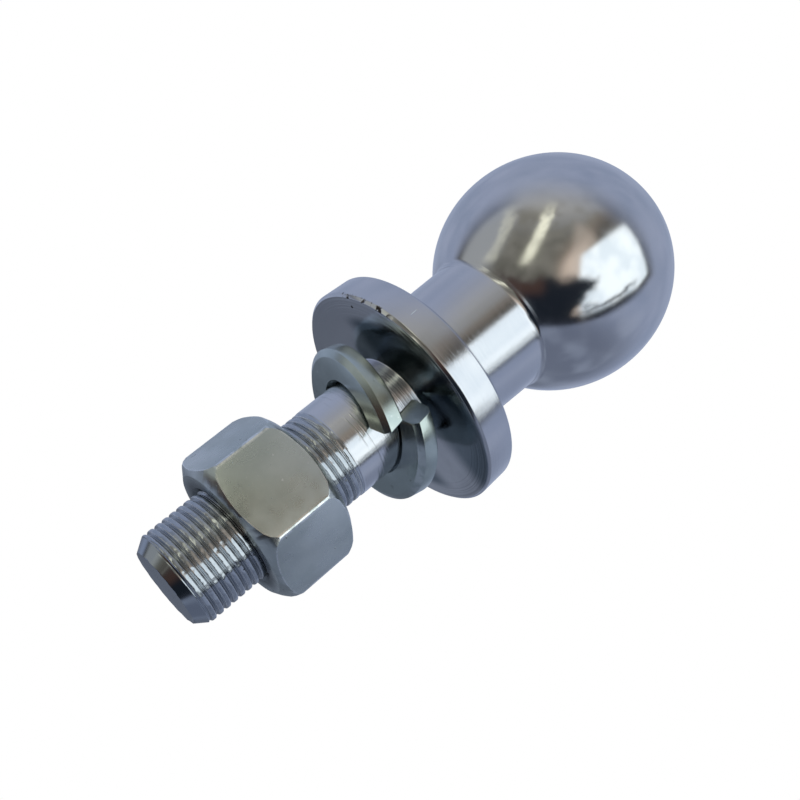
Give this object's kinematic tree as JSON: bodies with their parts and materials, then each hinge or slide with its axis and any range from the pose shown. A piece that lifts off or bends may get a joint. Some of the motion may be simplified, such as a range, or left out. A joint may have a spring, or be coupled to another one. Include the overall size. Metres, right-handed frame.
{
  "type": "tow ball",
  "caption": "Tow ball on a flanged neck, with a plain and threaded shank, a loose split spring washer and a hexagon nut.",
  "frame": {"origin": "centre of the ball", "axes": "+Z along the shank towards the ball, one flat of the nut faces -Y"},
  "size_m": [0.0476, 0.0476, 0.1232],
  "materials": {
    "bright_steel": "polished",
    "plated_steel": "satin"
  },
  "bodies": {
    "stud": {"ball_stud": "bright_steel", "lock_washer": "plated_steel"},
    "nut": {"hex_nut": "plated_steel"}
  },
  "joints": [
    {"name": "nut_travel", "type": "slide", "parent": "stud", "child": "nut", "axis": [0, 0, 1], "range_m": [-0.0145, 0.0064]}
  ]
}
